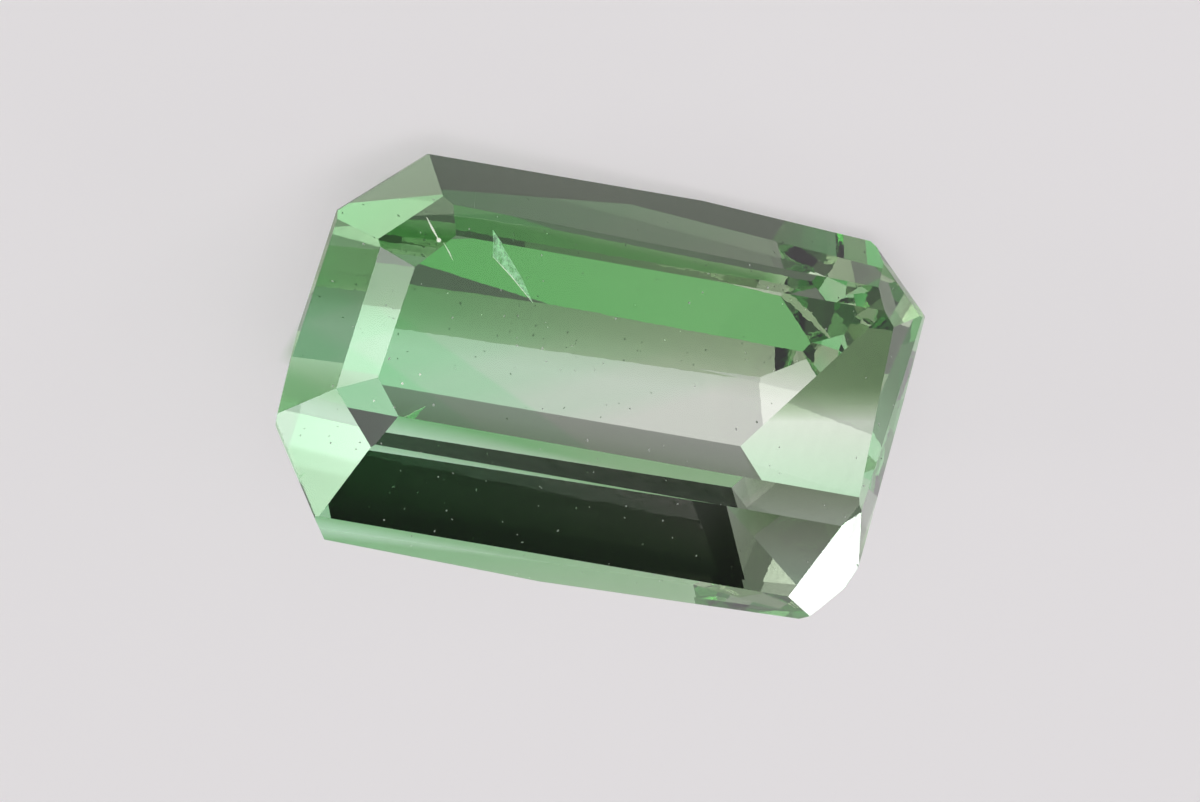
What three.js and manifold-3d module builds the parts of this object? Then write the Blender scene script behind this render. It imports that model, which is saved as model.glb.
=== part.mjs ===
// A step-cut (emerald-cut) gemstone, pale mint green and transparent: one solid, flat-faceted all over.
// It lies on a facet of its underside, the way a loose stone comes to rest on a tray, so its table leans
// towards the front. Millimetres, +Z up, long edges along X, the resting facet on z = 0.
import * as THREE from "three";
import { mergeVertices } from "three/addons/utils/BufferGeometryUtils.js";
import Module from "manifold-3d";

const wasm = await Module();
wasm.setup();

// The rough block the stone is sawn from, and the height of the table above the girdle.
const ROUGH = { length: 11, width: 8, height: 9 };
const TABLE_HEIGHT = 0.7;

// Height at which each tier's reach is measured: at the girdle, at the table, and just under the girdle.
const GIRDLE = 0;
const UNDER_GIRDLE = -0.1;

// The cutter's plan of the stone, side by side. Each facet is [azimuth, slope, reach]: the compass turn of
// its edge in degrees, its lean from the girdle plane in degrees (90 is upright), and how far it stands from
// the stone's upright axis, in mm, at the height its tier is measured at. The cut is a hand cut: corners and
// sides differ by a few degrees, and the underside is deeper than a planned one. "steps" holds the heights
// of the two lower pavilion tiers.
const CUT = {
  right_end: {
    crown: [[1, 40, 4], [356.5, 54, 3.27]],
    girdle: [358, 90, 3.83],
    pavilion: [[357.5, 84, 3.81], [3.5, 71, 3.84], [3.5, 52.5, 3.78]],
    steps: [-0.16, -0.31],
  },
  far_right_corner: {
    crown: [[49.5, 57.5, 3.73], [45.5, 39.5, 3.14]],
    girdle: [54.5, 90, 3.52],
    pavilion: [[57, 73.5, 3.41], [52, 67, 3.28], [52, 59, 2.87]],
    steps: [-0.97, -1.94],
  },
  far_side: {
    crown: [[93.5, 40, 2.27], [94, 20, 1.26]],
    girdle: [94.5, 90, 2.18],
    pavilion: [[95, 51.5, 2.12], [89, 51.5, 1.74], [89, 39, 1.86]],
    steps: [-0.58, -0.5],
  },
  far_left_corner: {
    crown: [[136.5, 44.5, 3.54], [138.5, 25, 2.64]],
    girdle: [133.5, 90, 3.39],
    pavilion: [[132.5, 70.5, 3.32], [137.5, 65.5, 2.96], [137.5, 47.5, 2.35]],
    steps: [-1.44, -2.8],
  },
  left_end: {
    crown: [[174, 42.5, 4], [173.5, 24, 3.03]],
    girdle: [174, 90, 3.88],
    pavilion: [[174, 63, 3.82], [179.5, 62, 3.59], [179.5, 58.5, 2.56]],
    steps: [-0.63, -2.59],
  },
  near_left_corner: {
    crown: [[224.5, 32, 4.03], [223.5, 20.5, 2.76]],
    girdle: [219, 90, 4.01],
    pavilion: [[218, 69, 3.98], [218.5, 62.5, 3.77], [218.5, 50, 2.67]],
    steps: [-0.62, -2.72],
  },
  near_side: {
    crown: [[273.5, 29.5, 2.27], [273.5, 20.5, 0.91]],
    girdle: [273.5, 67, 2.2],
    pavilion: [[272, 84, 2.54], [278, 43, 2.48], [278, 42, 1.9]],
    steps: [-0.64, -1.18],
  },
  near_right_corner: {
    crown: [[310, 42.5, 3.44], [309, 34, 2.6]],
    girdle: [323, 90, 4.02],
    pavilion: [[326.5, 78.5, 4.18], [320.5, 79.5, 4.03], [320.5, 77, 3.88]],
    steps: [-0.2, -1.03],
  },
};

// The facet of the underside that the stone lies on.
const RESTS_ON = ["far_side", 2];

// A lap plate: one flat block, bigger than the rough, that takes away everything past its facet.
const LAP = 30;

function solidFrom(geometry) {
  geometry.deleteAttribute("uv");
  geometry.deleteAttribute("normal");
  const merged = mergeVertices(geometry, 1e-4);
  const mesh = new wasm.Mesh({
    numProp: 3,
    vertProperties: merged.attributes.position.array,
    triVerts: new Uint32Array(merged.index.array),
  });
  return new wasm.Manifold(mesh);
}

// Outward direction of a facet: "rise" is 1 above the girdle and -1 below it.
function facing(azimuth, slope, rise) {
  const turn = THREE.MathUtils.degToRad(azimuth);
  const lean = THREE.MathUtils.degToRad(slope);
  const out = Math.sin(lean);
  return new THREE.Vector3(Math.cos(turn) * out, Math.sin(turn) * out, Math.cos(lean) * rise);
}

function lapped(stone, [azimuth, slope, reach], height, rise) {
  const normal = facing(azimuth, slope, rise);
  const turn = THREE.MathUtils.degToRad(azimuth);
  const foot = new THREE.Vector3(Math.cos(turn) * reach, Math.sin(turn) * reach, height);
  const plate = new THREE.BoxGeometry(LAP, LAP, LAP);
  plate.translate(0, 0, LAP / 2);
  plate.applyQuaternion(new THREE.Quaternion().setFromUnitVectors(new THREE.Vector3(0, 0, 1), normal));
  plate.translate(foot.x, foot.y, foot.z);
  return stone.subtract(solidFrom(plate));
}

let stone = solidFrom(new THREE.BoxGeometry(ROUGH.length, ROUGH.width, ROUGH.height));
stone = lapped(stone, [0, 0, 0], TABLE_HEIGHT, 1);
for (const side of Object.values(CUT)) {
  const [outer, inner] = side.crown;
  const [upper, middle, lower] = side.pavilion;
  stone = lapped(stone, outer, GIRDLE, 1);
  stone = lapped(stone, inner, TABLE_HEIGHT, 1);
  stone = lapped(stone, side.girdle, GIRDLE, 1);
  stone = lapped(stone, upper, UNDER_GIRDLE, -1);
  stone = lapped(stone, middle, side.steps[0], -1);
  stone = lapped(stone, lower, side.steps[1], -1);
}

// Lay the stone down on its resting facet, table towards the front (-Y).
const [restSide, restTier] = RESTS_ON;
const [restAzimuth, restSlope] = CUT[restSide].pavilion[restTier];
const up = facing(restAzimuth, restSlope, -1).negate();
const along = new THREE.Vector3(-1, 0, 0);
along.addScaledVector(up, -along.dot(up)).normalize();
const back = new THREE.Vector3().crossVectors(up, along);
const laid = new THREE.Matrix4().makeBasis(along, back, up).transpose();

const cut = stone.getMesh();
const geometry = new THREE.BufferGeometry();
const positions = new Float32Array(cut.numVert * 3);
for (let i = 0; i < cut.numVert; i++) {
  positions.set(cut.vertProperties.subarray(i * cut.numProp, i * cut.numProp + 3), i * 3);
}
geometry.setAttribute("position", new THREE.BufferAttribute(positions, 3));
geometry.setIndex(new THREE.BufferAttribute(cut.triVerts, 1));
geometry.applyMatrix4(laid);

// Origin under the middle of the stone, on the surface it lies on.
geometry.computeBoundingBox();
const box = geometry.boundingBox;
geometry.translate(-(box.min.x + box.max.x) / 2, -(box.min.y + box.max.y) / 2, -box.min.z);
geometry.computeVertexNormals();

const mint = new THREE.MeshStandardMaterial({
  color: 0xb9dcb4,
  roughness: 0.05,
  metalness: 0,
  transparent: true,
  opacity: 0.35,
  flatShading: true,
});
const garnet = new THREE.Mesh(geometry, mint);
garnet.name = "garnet";

const part = new THREE.Group();
part.add(garnet);
export default part;
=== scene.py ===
# %% [markdown]
# # A step-cut grossular garnet on a pale tray
# One loose stone, about 8 mm long: a long octagon with a flat table, a crown cut in two steps, and a deep
# underside, the pavilion, cut in up to three. It lies on a big facet of that underside, so the table leans.
# The material is clear garnet, mint green at one end and nearly colourless at the other.
#
# The cells go from the stone to what is sealed in it, then to the dust on it, and last to the tray, the
# light and the camera. Lengths are written in mm and multiplied by MM, because a scene counts in metres.

import math

import bmesh
import bpy
from mathutils import Matrix, Vector


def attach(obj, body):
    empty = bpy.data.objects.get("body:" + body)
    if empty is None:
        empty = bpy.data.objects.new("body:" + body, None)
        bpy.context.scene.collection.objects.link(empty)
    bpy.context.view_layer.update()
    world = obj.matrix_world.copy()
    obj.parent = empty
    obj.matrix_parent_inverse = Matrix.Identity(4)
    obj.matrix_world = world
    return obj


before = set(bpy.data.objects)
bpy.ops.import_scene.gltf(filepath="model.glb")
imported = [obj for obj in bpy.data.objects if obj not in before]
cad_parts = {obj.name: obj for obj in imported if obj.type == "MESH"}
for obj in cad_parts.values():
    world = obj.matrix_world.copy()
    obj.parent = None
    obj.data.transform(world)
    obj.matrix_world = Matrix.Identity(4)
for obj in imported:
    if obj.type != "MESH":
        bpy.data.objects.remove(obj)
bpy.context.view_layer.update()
MM = 0.001
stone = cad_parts["garnet"]

# %% [markdown]
# ## Finding the facets
# A cutter names a stone's faces: the table on top, the crown round it, the girdle at the widest place and
# the pavilion below. The mesh knows only triangles, so those that point the same way are gathered into
# facets. They could be picked by hand in edit mode, but a facet that is found by its direction is found
# again when the cut changes. The table is the largest one that faces both up and to the front. One triangle
# is so thin that its direction isn't exact, so it counts as a facet of its own, which does no harm.

# %% Gather triangles into facets
SAME_WAY = 0.9999
TABLE_FACES_UP = 0.5
TABLE_FACES_FRONT = 0.5


def facets_of(obj):
    """Each flat facet with its outward normal, its area in square mm and its centre, largest first."""
    found = []
    for poly in obj.data.polygons:
        for facet in found:
            if facet["normal"].dot(poly.normal) > SAME_WAY:
                break
        else:
            facet = {"normal": poly.normal.copy(), "area": 0.0, "centre": Vector()}
            found.append(facet)
        facet["area"] += poly.area
        facet["centre"] += poly.center * poly.area
    for facet in found:
        facet["centre"] /= facet["area"]
        facet["area"] /= MM * MM
    return sorted(found, key=lambda facet: -facet["area"])


def is_table(facet):
    return facet["normal"].z > TABLE_FACES_UP and -facet["normal"].y > TABLE_FACES_FRONT


facets = facets_of(stone)
table_facet = next(facet for facet in facets if is_table(facet))
print(len(facets), "facets; the table has", round(table_facet["area"], 1), "square mm")

# %% [markdown]
# ## Small tools for node trees
# A finish is a tree of nodes. It could be drawn by hand in the shader editor, but written here it reads from
# top to bottom and comes out the same each time. The first function adds a node with its settings, and the
# second starts an empty material. A renderer looks for all that glows as it looks for lamps. What glows in
# this scene is dim and even, so the new materials are left out of that search, and a render takes about a
# third of the time.

# %% Node helpers
FIRST = 0  # the inputs of a Math or an Add Shader node share one name, so they are told apart by number
SECOND = 1


def add(tree, kind, values=None, **settings):
    """A new node of this kind, with its settings and the values of its inputs."""
    node = tree.nodes.new(kind)
    for name, value in settings.items():
        setattr(node, name, value)
    for key, value in (values or {}).items():
        node.inputs[key].default_value = value
    return node


def new_material(name):
    """An empty material and its node tree."""
    material = bpy.data.materials.new(name)
    material.use_nodes = True
    material.node_tree.nodes.clear()
    material.cycles.emission_sampling = "NONE"
    print("material:", name)
    return material, material.node_tree


# %% [markdown]
# ## The garnet
# Grossular bends light strongly, with an index of about 1.735, which is why the far walls act as mirrors and
# show the steps of the pavilion as bands. Its colour comes from traces of metal through the whole body. Paint
# on the surface would look the same from everywhere, but a real stone is deeper in colour where light goes
# further through it. So the surface lets everything pass, and the body behind it absorbs.

# %% Clear body
GARNET_IOR = 1.735
CLEAR_SURFACE = {"Base Color": (1, 1, 1, 1), "Transmission Weight": 1.0, "IOR": GARNET_IOR}
BODY_COLOUR = (0.85, 1.0, 0.45, 1.0)
BODY_DENSITY = 25.0  # per metre

garnet, tree = new_material("garnet_clear")
garnet_out = add(tree, "ShaderNodeOutputMaterial")
glass = add(tree, "ShaderNodeBsdfPrincipled", CLEAR_SURFACE)
body = add(tree, "ShaderNodeVolumeAbsorption", {"Color": BODY_COLOUR, "Density": BODY_DENSITY})
tree.links.new(glass.outputs["BSDF"], garnet_out.inputs["Surface"])
tree.links.new(body.outputs["Volume"], garnet_out.inputs["Volume"])
print("index", GARNET_IOR, "and absorption", BODY_COLOUR[:3], "times", BODY_DENSITY, "per metre")

# %% [markdown]
# ## What the polish leaves
# Polishing leaves marks finer than the eye resolves. Without them each facet mirrors the room too well and
# looks drawn. An image of scratches could be laid on, but noise needs none: a slow one makes some places a
# trace rougher, and a fine one dents the surface by a fifth of a micron at most. Both read the stone's own
# coordinates, so the marks stay in their places from every side.

# %% Polish marks
SMEARS = {"Scale": 900.0, "Detail": 3.0, "Roughness": 0.6}
GRAIN = {"Scale": 5200.0, "Detail": 2.0}
ROUGHEST = 0.012
ROUGH_PLACES = {"From Min": 0.45, "From Max": 0.8, "To Min": 0.0, "To Max": ROUGHEST}
DENTS = {"Strength": 0.02, "Distance": 0.00001}  # the distance in metres

where = add(tree, "ShaderNodeTexCoord")
smears = add(tree, "ShaderNodeTexNoise", SMEARS)
grain = add(tree, "ShaderNodeTexNoise", GRAIN)
rough = add(tree, "ShaderNodeMapRange", ROUGH_PLACES)
dents = add(tree, "ShaderNodeBump", DENTS)
link = tree.links.new
link(where.outputs["Object"], smears.inputs["Vector"])
link(where.outputs["Object"], grain.inputs["Vector"])
link(smears.outputs["Fac"], rough.inputs["Value"])
link(rough.outputs["Result"], glass.inputs["Roughness"])
link(grain.outputs["Fac"], dents.inputs["Height"])
link(dents.outputs["Normal"], glass.inputs["Normal"])

stone.data.materials.clear()
stone.data.materials.append(garnet)
print("roughness up to", ROUGHEST, "on", stone.name)

# %% [markdown]
# ## From a drawn shape to a piece
# The shapes below are drawn as a bmesh, which is a mesh that can be cut and added to. A piece is more than
# its shape: it is an object in the scene with a finish, and it rides on the stone's body, so that it goes
# where the stone goes. One function does this for all.

# %% Finish a piece
def object_from(shape, name):
    """An object in the scene from a bmesh, which is used up."""
    mesh = bpy.data.meshes.new(name)
    shape.to_mesh(mesh)
    shape.free()
    obj = bpy.data.objects.new(name, mesh)
    bpy.context.scene.collection.objects.link(obj)
    return obj


def belongs_to_stone(piece):
    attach(piece, "root")
    print(piece.name, "has", len(piece.data.polygons), "faces")


def piece_from(shape, name, material, smooth=False):
    """A finished piece from a bmesh, its faces shaded smooth or flat."""
    piece = object_from(shape, name)
    for poly in piece.data.polygons:
        poly.use_smooth = smooth
    piece.data.materials.append(material)
    belongs_to_stone(piece)
    return piece


# %% [markdown]
# ## Cutting a block
# The colour of this stone is uneven, and each zone of colour below is a closed body with flat faces. A
# Boolean modifier could cut it, but it needs a cutter object for each face and is touchy where faces nearly
# meet. Cutting a block with one plane after another is what a lapidary does, and closing the hole after
# each cut leaves a closed shape.

# %% Cut a block with planes
BLOCK_SIZE = 20.0
CUT_TOLERANCE = 1e-9  # metres
HAIR = 0.008


def cut_block(planes):
    """The solid left of a block when everything past each plane (point, outward normal) is cut away."""
    shape = bmesh.new()
    bmesh.ops.create_cube(shape, size=BLOCK_SIZE * MM)
    for point, normal in planes:
        everything = shape.verts[:] + shape.edges[:] + shape.faces[:]
        cut = bmesh.ops.bisect_plane(
            shape, geom=everything, dist=CUT_TOLERANCE, plane_co=point, plane_no=normal, clear_outer=True
        )
        hole = [part for part in cut["geom_cut"] if isinstance(part, bmesh.types.BMEdge)]
        if hole:
            bmesh.ops.contextual_create(shape, geom=hole)
    bmesh.ops.recalc_face_normals(shape, faces=shape.faces[:])
    return shape


def stone_planes(hairs):
    """The stone's facets as planes, each moved inwards by this many hairs."""
    return [(facet["centre"] - facet["normal"] * HAIR * hairs * MM, facet["normal"]) for facet in facets]


test_block = cut_block(stone_planes(0))
print("the facets cut a block down to", round(test_block.calc_volume() / MM**3, 1), "cubic mm")
test_block.free()

# %% [markdown]
# ## The tint of a zone
# A growing crystal takes up more or less of the colouring metal as it goes, so its zones differ only in what
# they soak up and have no surface of their own. The stone around them bends the light, and a second surface
# would bend it again. So a zone is fully see-through outside, and its body takes away a part of the red, the
# green and the blue. An absorption node takes the colour that is left and a density, which are worked out
# from what one mm soaks up.

# %% Zone material
def zone_material(name, soaks):
    """No surface, and a body that soaks up this much of red, green and blue per mm."""
    material, tree = new_material(name)
    densest = max(soaks)
    print(name, "soaks up", [round(part, 3) for part in soaks], "per mm and layer")
    colour = [1 - part / densest for part in soaks] + [1.0]
    out = add(tree, "ShaderNodeOutputMaterial")
    clear = add(tree, "ShaderNodeBsdfTransparent")
    body = add(tree, "ShaderNodeVolumeAbsorption", {"Color": colour, "Density": densest / MM})
    tree.links.new(clear.outputs["BSDF"], out.inputs["Surface"])
    tree.links.new(body.outputs["Volume"], out.inputs["Volume"])
    return material


# %% [markdown]
# ## The green zones
# The colour sits mostly in the end and the side of the stone that are left and lowest in the picture. Its
# back, low in the pavilion, has a little of a greyer green, and the rest is nearly clear. The facets mirror
# the inside, so they show the green in other places too. A texture in the volume could fade the colour in,
# but it renders slowly and is lost in an export. So each zone is a few layers: every layer is the stone's
# own shape cut off by a slanting plane, each a step further than the last, and where they overlap their
# colours add up. Each layer is drawn in by one more hair, so that no two walls touch.

# %% Zone layers
ZONES = {
    # the direction that leads out of the zone, the middle and the half width of its soft edge in mm, its
    # layers, and the part of red, green and blue that one mm of the full zone soaks up
    "back": (Vector((-0.08, 0.66, 0.75)), 0.53, 0.20, 2, (0.23, 0.16, 0.26)),
    "left": (Vector((-0.33, -0.81, -0.49)), -2.45, 1.36, 5, (0.28, 0.0, 0.19)),
}

hairs = 0
for name, (leads_out, middle, half_width, layers, soaks) in ZONES.items():
    leads_out = leads_out.normalized()
    tint = zone_material(f"green_{name}", [part / layers for part in soaks])
    for layer in range(layers):
        hairs += 1
        step = (layer + 0.5) / layers * 2 - 1
        edge = leads_out * (middle + step * half_width) * MM
        planes = stone_planes(hairs) + [(edge, leads_out)]
        piece_from(cut_block(planes), f"green_{name}_{layer + 1}", tint)

# %% [markdown]
# ## Places on the stone
# What is sealed in the stone is placed from the middle of the table, as a grader plots it: so far along the
# table, so far up its slope, and so far below it, all in mm. World coordinates would do too, but nobody can
# read off them whether a point is inside the stone.

# %% Directions on the table
LONG_WAY = Vector((1, 0, 0))

table_out = table_facet["normal"]
table_along = (LONG_WAY - table_out * table_out.x).normalized()
table_slope = table_out.cross(table_along)


def under_table(along, upslope, height):
    """A point from the table's centre, in mm; a negative height is below the table."""
    place = table_along * along + table_slope * upslope + table_out * height
    return table_facet["centre"] + place * MM


print("the table leans by", round(math.degrees(math.acos(table_out.z))), "degrees")

# %% [markdown]
# ## Drawing a thread
# A needle is a crystal as thin as a hair that tapers to both ends. A curve with a round bevel could draw it,
# but its taper would need a second curve and its ends would be open. Rings of corners, joined by faces and
# closed at both ends, give a solid shape with the taper in one formula.

# %% Thread shape
THREAD_SIDES = 6
TIP_SHARE = 0.25  # of the full thickness
TAPER_POWER = 0.5


def ring_round(shape, middle, ahead, radius):
    """The corners of one ring, square to the way ahead."""
    side = ahead.orthogonal().normalized()
    other = ahead.cross(side)
    turns = [2 * math.pi * k / THREAD_SIDES for k in range(THREAD_SIDES)]
    spokes = [side * math.cos(turn) + other * math.sin(turn) for turn in turns]
    return [shape.verts.new(middle + spoke * radius) for spoke in spokes]


def thread(points, thickness):
    """A closed thread through the points, thickest in the middle, as a bmesh."""
    shape = bmesh.new()
    last = len(points) - 1
    rings = []
    for i, point in enumerate(points):
        ahead = (points[min(i + 1, last)] - points[max(i - 1, 0)]).normalized()
        swell = TIP_SHARE + (1 - TIP_SHARE) * math.sin(math.pi * i / last) ** TAPER_POWER
        rings.append(ring_round(shape, point, ahead, thickness / 2 * swell))
    for low, high in zip(rings, rings[1:]):
        for k in range(THREAD_SIDES):
            after_k = (k + 1) % THREAD_SIDES
            shape.faces.new((low[k], low[after_k], high[after_k], high[k]))
    shape.faces.new(rings[0][::-1])
    shape.faces.new(rings[-1])
    bmesh.ops.recalc_face_normals(shape, faces=shape.faces[:])
    return shape


# %% [markdown]
# ## A milky finish
# What is sealed in a stone, and the dust on it, is white or pale because it is full of tiny gaps that scatter
# light. Scattering inside a volume would be the true way, but on bodies as thin as these it costs much and
# shows little. So the surface is matt, a fine noise makes it paler and darker and lets light through in
# patches, and a slight glow stands for the light that is scattered towards the eye.

# %% Milky material
MILKY_SURFACE = {"Roughness": 0.6, "Specular IOR Level": 0.2}
PATCH_DETAIL = 2.0
DARK_SHARE = 0.7  # of the colour, in the darker patches
DARK_BELOW = 0.35
PALE_ABOVE = 0.65
THIN_PLACES = {"From Min": 0.3, "From Max": 0.7, "To Max": 1.0}


def milky_material(name, colour, scale, clear, glint=0.0):
    """Matt and patchy: the patches have this scale, and the thinnest are clear by this share."""
    material, tree = new_material(name)
    out = add(tree, "ShaderNodeOutputMaterial")
    matt = add(tree, "ShaderNodeBsdfPrincipled", MILKY_SURFACE)
    matt.inputs["Emission Color"].default_value = colour
    matt.inputs["Emission Strength"].default_value = glint
    where = add(tree, "ShaderNodeTexCoord")
    patches = add(tree, "ShaderNodeTexNoise", {"Scale": scale, "Detail": PATCH_DETAIL})
    tones = add(tree, "ShaderNodeValToRGB")
    dark, pale = tones.color_ramp.elements
    dark.position = DARK_BELOW
    dark.color = [part * DARK_SHARE for part in colour[:3]] + [1]
    pale.position = PALE_ABOVE
    pale.color = colour
    cover = add(tree, "ShaderNodeMapRange", {**THIN_PLACES, "To Min": 1.0 - clear})
    link = tree.links.new
    link(where.outputs["Object"], patches.inputs["Vector"])
    link(patches.outputs["Fac"], tones.inputs["Fac"])
    link(patches.outputs["Fac"], cover.inputs["Value"])
    link(tones.outputs["Color"], matt.inputs["Base Color"])
    link(cover.outputs["Result"], matt.inputs["Alpha"])
    link(matt.outputs["BSDF"], out.inputs["Surface"])
    return material


# %% [markdown]
# ## The needle
# Few garnets are clean. This one has a short pale needle under one corner of its table, which goes on past a
# bright crumb as a thinner tail. Straight rods would be simpler, but both are bent a little, so each is a
# thread through three points.

# %% Needle and tail
NEEDLE = [(3.00, -1.02, -0.18), (2.92, -0.90, -0.12), (2.84, -0.79, -0.06)]
NEEDLE_TAIL = [(2.78, -0.77, -0.05), (2.70, -0.69, -0.04), (2.63, -0.61, -0.04)]
NEEDLE_WIDTH = 0.026
TAIL_WIDTH = NEEDLE_WIDTH / 2
WHITE = {"colour": (0.95, 0.97, 0.88, 1), "scale": 60000.0, "clear": 0.2, "glint": 0.55}

white = milky_material("inclusion_white", **WHITE)
piece_from(thread([under_table(*point) for point in NEEDLE], NEEDLE_WIDTH * MM), "needle", white, smooth=True)
tail = thread([under_table(*point) for point in NEEDLE_TAIL], TAIL_WIDTH * MM)
piece_from(tail, "needle_tail", white, smooth=True)

# %% [markdown]
# ## The crumb and the pinpoints
# Where the needle ends sits a crumb, and a few crystals near another corner are too small to be more than
# points. Nobody can see their faces, so small balls are enough. They are joined into one piece, because
# separate objects would gain nothing.

# %% Pinpoints
PINPOINTS = [
    # along, upslope, height and size in mm
    (2.90, 0.90, -0.05, 0.030),
    (3.16, 1.16, -0.12, 0.022),
    (2.71, 0.75, -0.05, 0.024),
]
CRUMB_SIZE = 0.055
BALL_STEPS = 2

shape = bmesh.new()
for along, upslope, height, size in PINPOINTS + [(*NEEDLE[-1], CRUMB_SIZE)]:
    ball = bmesh.ops.create_icosphere(shape, subdivisions=BALL_STEPS, radius=size * MM / 2)
    bmesh.ops.translate(shape, verts=ball["verts"], vec=under_table(along, upslope, height))
piece_from(shape, "pinpoints", white, smooth=True)

# %% [markdown]
# ## The feather
# A feather is a small crack that has healed, with rows of tiny drops left in it. Here it fans out under the
# table. A single flat face could draw it, but a piece should be closed, so it is a sheet a few microns
# thick: the same outline above and below, filled as a fan, with a wall round the edge. It is mostly clear.

# %% Feather sheet
FEATHER = [
    (2.20, -1.06, -0.11),
    (2.15, -0.77, -0.06),
    (1.86, -0.60, -0.07),
    (1.52, -0.37, -0.09),
    (1.72, -0.62, -0.12),
]
FEATHER_THICK = 0.003
VEIL = {"colour": (0.50, 0.92, 0.56, 1), "scale": 17000.0, "clear": 0.95, "glint": 0.35}

veil = milky_material("inclusion_veil", **VEIL)
outline = [under_table(*point) for point in FEATHER]
half_thick = table_out * FEATHER_THICK / 2 * MM
shape = bmesh.new()
top = [shape.verts.new(point + half_thick) for point in outline]
low = [shape.verts.new(point - half_thick) for point in outline]
for k in range(1, len(outline) - 1):
    shape.faces.new((top[0], top[k], top[k + 1]))
    shape.faces.new((low[k + 1], low[k], low[0]))
for k in range(len(outline)):
    after_k = (k + 1) % len(outline)
    shape.faces.new((top[k], low[k], low[after_k], top[after_k]))
bmesh.ops.recalc_face_normals(shape, faces=shape.faces[:])
piece_from(shape, "feather", veil)

# %% [markdown]
# ## The feather's bright rim
# One edge of the feather catches the light as a thin bright line. A brighter patch in the feather's own
# finish would need a mask, and a thread along that part of the outline does it with what is there.

# %% Feather rim
FEATHER_RIM = 0.012
RIM_FIRST = 1
RIM_LAST = 3

bright_edge = outline[RIM_FIRST : RIM_LAST + 1]
piece_from(thread(bright_edge, FEATHER_RIM * MM), "feather_rim", white, smooth=True)

# %% [markdown]
# ## Dust on the crown
# A stone seen this close always carries dust, as specks of a few hundredths of a millimetre at most. Placing
# them by hand would take long and look placed. Geometry Nodes scatter them over a surface instead. That
# surface is a copy of the facets that face up, since no dust stays on a wall or on the underside.

# %% Where dust can lie
DUST_FACES_UP = 0.25

shape = bmesh.new()
shape.from_mesh(stone.data)
too_steep = [face for face in shape.faces if face.normal.z < DUST_FACES_UP]
bmesh.ops.delete(shape, geom=too_steep, context="FACES")
dust = object_from(shape, "dust")
dusty_area = sum(poly.area for poly in dust.data.polygons) / MM**2
print("dust can lie on", round(dusty_area, 1), "square mm")

# %% [markdown]
# ## Inputs of the scatter
# The numbers could be typed into the nodes, but a node group with named inputs is set from outside, like a
# tool with dials: how many specks on an area, how large, and the seed of the random draw, which is fixed so
# that the dust falls the same way each time.

# %% Dust inputs
dust_tree = bpy.data.node_groups.new("dust_scatter", "GeometryNodeTree")
dials = dust_tree.interface
dials.new_socket(name="Geometry", in_out="INPUT", socket_type="NodeSocketGeometry")
number_dial = dials.new_socket(name="Specks per square m", in_out="INPUT", socket_type="NodeSocketFloat")
size_dial = dials.new_socket(name="Speck size", in_out="INPUT", socket_type="NodeSocketFloat")
seed_dial = dials.new_socket(name="Seed", in_out="INPUT", socket_type="NodeSocketInt")
dials.new_socket(name="Geometry", in_out="OUTPUT", socket_type="NodeSocketGeometry")
print("inputs:", [dial.name for dial in dials.items_tree if dial.in_out == "INPUT"])

# %% [markdown]
# ## The scatter itself
# Real dust is crumbs and lint of every shape, but nobody can see more of it here than its size and outline.
# So points fall on the surface, each point gets a small ball, and random values stretch and turn the ball,
# until no two specks are alike. The balls are only stand-ins until they are made real, which the tree does
# near its end, before it gives them their finish.

# %% Dust nodes
SPECK_STEPS = 2
SPECK_CORNERS = 42  # of a ball with that many steps
SPECK_STRETCH = {"Min": (0.2, 0.2, 0.15), "Max": (1.4, 1.1, 0.7)}
SPECK_TURN = {"Min": (0, 0, 0), "Max": (6.28, 6.28, 6.28)}  # radians
PALE = {"colour": (0.85, 0.88, 0.84, 1), "scale": 90000.0, "clear": 0.5}

dust_look = milky_material("dust_pale", **PALE)
start = add(dust_tree, "NodeGroupInput")
end = add(dust_tree, "NodeGroupOutput")
scatter = add(dust_tree, "GeometryNodeDistributePointsOnFaces", distribute_method="RANDOM")
speck = add(dust_tree, "GeometryNodeMeshIcoSphere", {"Subdivisions": SPECK_STEPS})
halve = add(dust_tree, "ShaderNodeMath", {SECOND: 0.5}, operation="MULTIPLY")
stretch = add(dust_tree, "FunctionNodeRandomValue", SPECK_STRETCH, data_type="FLOAT_VECTOR")
turn = add(dust_tree, "FunctionNodeRandomValue", SPECK_TURN, data_type="FLOAT_VECTOR")
copies = add(dust_tree, "GeometryNodeInstanceOnPoints")
real = add(dust_tree, "GeometryNodeRealizeInstances")
paint = add(dust_tree, "GeometryNodeSetMaterial", {"Material": dust_look})
print(len(dust_tree.nodes), "nodes in", dust_tree.name)

# %% [markdown]
# ## Joining the nodes
# A link leads from one node's output to another's input, and together they are the order of the work. The
# seed goes both to the scatter and to the stretch, and the size is halved on its way to the ball, because a
# ball is given by its radius.

# %% Dust links
link = dust_tree.links.new
link(start.outputs["Geometry"], scatter.inputs["Mesh"])
link(start.outputs["Specks per square m"], scatter.inputs["Density"])
link(start.outputs["Seed"], scatter.inputs["Seed"])
link(start.outputs["Seed"], stretch.inputs["Seed"])
link(start.outputs["Speck size"], halve.inputs["Value"])
link(halve.outputs["Value"], speck.inputs["Radius"])
link(scatter.outputs["Points"], copies.inputs["Points"])
link(speck.outputs["Mesh"], copies.inputs["Instance"])
link(stretch.outputs["Value"], copies.inputs["Scale"])
link(turn.outputs["Value"], copies.inputs["Rotation"])
link(copies.outputs["Instances"], real.inputs["Geometry"])
link(real.outputs["Geometry"], paint.inputs["Geometry"])
link(paint.outputs["Geometry"], end.inputs["Geometry"])
print(len(dust_tree.links), "links")

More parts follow.
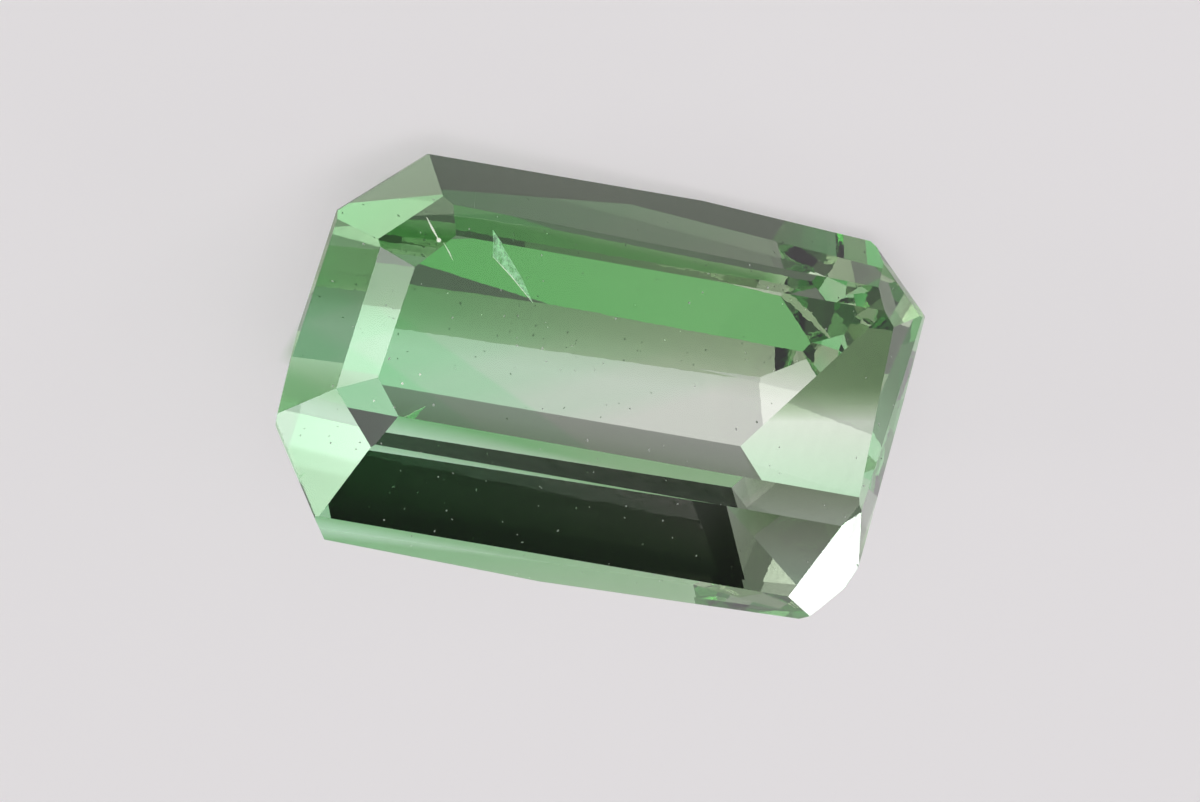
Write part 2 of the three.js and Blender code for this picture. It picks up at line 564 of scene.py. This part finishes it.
# %% [markdown]
# ## Letting the dust fall
# The tree works as a modifier on the copy of the facets. It could stay one, but then the dust would be lost
# wherever modifiers aren't read. So its result is taken as a plain mesh, the modifier is removed, and the
# dust is an ordinary piece from here on.

# %% Dust piece
DUST_PER_SQUARE_MM = 4.2
DUST_SIZE = 0.028
DUST_SEED = 11

fall = dust.modifiers.new("scatter", "NODES")
fall.node_group = dust_tree
fall[number_dial.identifier] = DUST_PER_SQUARE_MM / MM**2
fall[size_dial.identifier] = DUST_SIZE * MM
fall[seed_dial.identifier] = DUST_SEED
bpy.context.view_layer.update()
graph = bpy.context.evaluated_depsgraph_get()
fallen = bpy.data.meshes.new_from_object(dust.evaluated_get(graph))
dust.modifiers.clear()
dust.data = fallen
belongs_to_stone(dust)
print(len(fallen.vertices) // SPECK_CORNERS, "specks of dust")

# %% [markdown]
# ## The light under the stone
# A stone keeps the room's light off the tray beneath it and lets only some green light through. Following
# that light from the sky to the tray takes very many samples, so the tray's own glow changes under the stone
# instead. A box that fades at its sides says where that is. It is worked out from the distance to the
# middle of the stone, first along the tray and then across it, and both have to be small.

# %% Where the stone covers the tray
COVERED = [(-0.23, 3.2), (0.26, 1.5)]  # middle and half length in mm, along x and then along y
COVERED_FADES = 0.25
FADE_OUT = {"To Min": 1.0, "To Max": 0.0}
print("covered, mm:", [2 * half for middle, half in COVERED])


def under_stone(tree):
    """A socket that is 1 under the stone and fades to 0 round it."""
    where = add(tree, "ShaderNodeTexCoord")
    split = add(tree, "ShaderNodeSeparateXYZ")
    covered = add(tree, "ShaderNodeMath", operation="MULTIPLY")
    link = tree.links.new
    link(where.outputs["Object"], split.inputs["Vector"])
    for axis, (middle, half) in enumerate(COVERED):
        fades_from = (half - COVERED_FADES) * MM
        shift = add(tree, "ShaderNodeMath", {SECOND: middle * MM}, operation="SUBTRACT")
        distance = add(tree, "ShaderNodeMath", operation="ABSOLUTE")
        within = add(tree, "ShaderNodeMapRange", {"From Min": fades_from, "From Max": half * MM, **FADE_OUT})
        link(split.outputs[axis], shift.inputs["Value"])
        link(shift.outputs["Value"], distance.inputs["Value"])
        link(distance.outputs["Value"], within.inputs["Value"])
        link(within.outputs["Result"], covered.inputs[axis])
    return covered.outputs["Value"]


# %% [markdown]
# ## The tray
# The tray is plain, matt and pale, and nothing else stands on it. Lamps could light it evenly, but every lamp
# would also show as a spot in some facet. So about two thirds of its brightness is an even glow of its own,
# which is dim and green under the stone, and the soft sky lights the rest.

# %% Tray
TRAY_SIZE = 2.0  # metres
TRAY_DROP = 0.02
TRAY_COLOUR = (0.47, 0.452, 0.462, 1)
GREEN_GLOW = (0.06, 0.22, 0.05, 1)
OPEN_COLOUR = 6  # the colour sockets of a Mix node share their names with others
COVERED_COLOUR = 7
MIXED_COLOUR = 2

tray_look, tree = new_material("tray_pale")
tray_out = add(tree, "ShaderNodeOutputMaterial")
matt = add(tree, "ShaderNodeBsdfDiffuse", {"Color": TRAY_COLOUR})
glow = add(tree, "ShaderNodeEmission", {"Strength": 1.0})
both = add(tree, "ShaderNodeAddShader")
tone = add(tree, "ShaderNodeMix", data_type="RGBA")
tone.inputs[OPEN_COLOUR].default_value = TRAY_COLOUR
tone.inputs[COVERED_COLOUR].default_value = GREEN_GLOW
tree.links.new(under_stone(tree), tone.inputs["Factor"])
tree.links.new(tone.outputs[MIXED_COLOUR], glow.inputs["Color"])
tree.links.new(matt.outputs["BSDF"], both.inputs[FIRST])
tree.links.new(glow.outputs["Emission"], both.inputs[SECOND])
tree.links.new(both.outputs["Shader"], tray_out.inputs["Surface"])

bpy.ops.mesh.primitive_plane_add(size=TRAY_SIZE, location=(0, 0, -TRAY_DROP * MM))
tray = bpy.context.object
tray.name = "tray"
tray.data.materials.append(tray_look)
print("tray:", TRAY_SIZE, "m wide and", TRAY_DROP, "mm below the stone")

# %% [markdown]
# ## The room
# A cut stone shows the room it lies in: each facet picks out its own part of the sky above it. Lamps or a
# picture of a room could stand there, but then hard shapes would cross the facets. Here the room is only
# light and dark, worked out in the world's node tree from the direction looked at, so every change is soft.

# %% An empty sky
world = bpy.data.worlds.new("studio")
bpy.context.scene.world = world
world.use_nodes = True
world.cycles.sampling_method = "NONE"
sky = world.node_tree
sky.nodes.clear()
sky_out = add(sky, "ShaderNodeOutputWorld")
sky_light = add(sky, "ShaderNodeBackground", {"Strength": 1.0})
seen = add(sky, "ShaderNodeTexCoord").outputs["Generated"]
split_seen = add(sky, "ShaderNodeSeparateXYZ")
sky.links.new(seen, split_seen.inputs["Vector"])
upward = split_seen.outputs["Z"]
print("world:", world.name)

# %% [markdown]
# ## Arithmetic with nodes
# A sum in a node tree takes one node for each step. That is slow to draw and hard to read, so the first
# function writes a step as one short call. The second makes a soft patch of the sky, which counts fully in
# its middle and falls off like a bell. A patch with an edge would be simpler, but the edge would show in
# some facet.

# %% Sky helpers
def work_out(operation, *values):
    """One step of arithmetic in the sky's node tree, on sockets or plain numbers."""
    node = add(sky, "ShaderNodeMath", operation=operation)
    for i, value in enumerate(values):
        if isinstance(value, (int, float)):
            node.inputs[i].default_value = value
        else:
            sky.links.new(value, node.inputs[i])
    return node.outputs["Value"]


def patch(compass, rise, half_width):
    """How strongly a soft patch of the sky counts in the direction looked at, 1 in its middle."""
    compass, rise, half_width = (math.radians(v) for v in (compass, rise, half_width))
    towards = (math.cos(compass) * math.cos(rise), math.sin(compass) * math.cos(rise), math.sin(rise))
    near = add(sky, "ShaderNodeVectorMath", {SECOND: towards}, operation="DOT_PRODUCT")
    sky.links.new(seen, near.inputs[FIRST])
    off = work_out("SUBTRACT", near.outputs["Value"], 1.0)
    return work_out("EXPONENT", work_out("MULTIPLY", off, 1 / (1 - math.cos(half_width))))


# %% [markdown]
# ## The bright and dark parts of the room
# The room itself is darkest overhead and brightens evenly downwards. On it lie the patches, each written as
# its compass direction, its height and its half width in degrees, and how much it adds. Compass 26 is left
# in the picture, 206 is right, and the camera stands at 308. A negative patch is a dark part of the room. The
# narrow strong ones are lamps: each of them lights one or two facets.

# %% Room patches
ROOM = -0.15
ROOM_LOW = 0.46
PATCHES = {
    "wide soft light overhead": (327, 73, 29, 1.94),
    "pale wall": (236, 21, 15, 1.11),
    "gap in that wall": (247, 24, 8, -0.87),
    "small pale panel": (348, 21, 7, 0.73),
    "long low panel": (173, 11, 31, 0.67),
    "panel above the wall": (225, 50, 12, 0.66),
    "dark beam": (253, 41, 7, -0.50),
    "soft panel opposite the camera": (100, 32, 20, 0.36),
    "dark part of that panel": (113, 20, 12, -0.28),
    "dark corner": (19, 42, 10, -0.19),
    "low lamp at the left": (17, 13, 8, 7.00),
    "high lamp": (11, 73, 4, 3.60),
    "low lamp at the lower right": (151, 10, 5, 8.00),
    "lamp beside the camera": (299, 38, 3, 3.20),
}

low_share = work_out("SUBTRACT", 1.0, upward)
total = work_out("ADD", work_out("MULTIPLY", low_share, ROOM_LOW), ROOM)
for compass, rise, half_width, amount in PATCHES.values():
    total = work_out("ADD", total, work_out("MULTIPLY", patch(compass, rise, half_width), amount))
print(len(PATCHES), "patches in", len(sky.nodes), "nodes")

# %% [markdown]
# ## The horizon
# A low view sees where the tray ends. A wall behind it would show its foot, so the lowest part of the sky is
# as bright as the tray instead, and above it the room fades in.

# %% Rim of the sky
RIM = 0.72
RIM_FULL = 0.07
RIM_END = 0.12

rim = add(sky, "ShaderNodeMapRange", {"From Min": RIM_FULL, "From Max": RIM_END, **FADE_OUT})
sky.links.new(upward, rim.inputs["Value"])
missing = work_out("SUBTRACT", RIM, total)
total = work_out("ADD", total, work_out("MULTIPLY", missing, rim.outputs["Result"]))
print("the rim is full up to", RIM_FULL, "and ends at", RIM_END)

# %% [markdown]
# ## The green card
# A faintly green card stands opposite the camera, and it is the one part of the room with a colour. It makes
# one band of the stone greener, where more colour in the zones would make all bands greener. Red, green and
# blue are worked out one by one, and none may fall below zero, since a room can't send out less than no
# light.

# %% Colour of the sky
CARD = (118, 42, 9)
CARD_COLOUR = (0.06, 0.42, 0.07)

card = patch(*CARD)
colour = add(sky, "ShaderNodeCombineColor")
for i, part in enumerate(CARD_COLOUR):
    channel = work_out("MAXIMUM", work_out("ADD", total, work_out("MULTIPLY", card, part)), 0.0)
    sky.links.new(channel, colour.inputs[i])
sky.links.new(colour.outputs["Color"], sky_light.inputs["Color"])
sky.links.new(sky_light.outputs["Background"], sky_out.inputs["Surface"])
print("the sky has", len(sky.nodes), "nodes")

# %% [markdown]
# ## The camera
# The stone is seen from above its front, square enough to the leaning table to look right into it, with a
# long lens. The picture is turned so that the table's low side is at the top. The camera could be aimed by
# a constraint, but a place, a view direction and the direction of the picture's right side say exactly how
# it is turned, and from these its three axes follow.

# %% Camera
CAMERA_AT = Vector((45.27, -57.67, 83.77)) * MM
VIEW = Vector((-0.4122, 0.5234, -0.7458))
IMAGE_RIGHT = Vector((-0.8825, -0.4329, 0.1840))
LENS = 284.5
SENSOR_WIDTH = 36.0
NEAREST = 0.005  # metres, like the next
FARTHEST = 10.0

cam_data = bpy.data.cameras.new("camera")
cam_data.lens = LENS
cam_data.sensor_width = SENSOR_WIDTH
cam_data.clip_start = NEAREST
cam_data.clip_end = FARTHEST
camera = bpy.data.objects.new("camera", cam_data)
bpy.context.scene.collection.objects.link(camera)
forward = VIEW.normalized()
right = (IMAGE_RIGHT - forward * IMAGE_RIGHT.dot(forward)).normalized()
up = right.cross(forward)
camera.matrix_world = Matrix.Translation(CAMERA_AT) @ Matrix((right, up, -forward)).transposed().to_4x4()
bpy.context.scene.camera = camera
looks_down = math.degrees(math.asin(-forward.z))
print("camera:", round(CAMERA_AT.length / MM), "mm away, looking down by", round(looks_down), "degrees")

# %% [markdown]
# ## How far light is followed
# Light crosses a cut stone many times before it finds a way out, and each layer of a zone counts as two more
# crossings. With the usual limits those paths end inside, and the facets turn black. So the limits are
# high, and bright paths aren't clamped, because the sparkle is made of them. The plain view transform
# keeps a white facet white.

# %% Light paths
BOUNCES = 32
GLOSSY_BOUNCES = 28
LAYER_CROSSINGS = 64
NO_CLAMP = 0.0

scene = bpy.context.scene
scene.view_settings.view_transform = "Standard"
scene.cycles.max_bounces = BOUNCES
scene.cycles.glossy_bounces = GLOSSY_BOUNCES
scene.cycles.transmission_bounces = BOUNCES
scene.cycles.transparent_max_bounces = LAYER_CROSSINGS
scene.cycles.caustics_reflective = True
scene.cycles.caustics_refractive = True
scene.cycles.sample_clamp_indirect = NO_CLAMP
print("light is followed for", BOUNCES, "bounces")
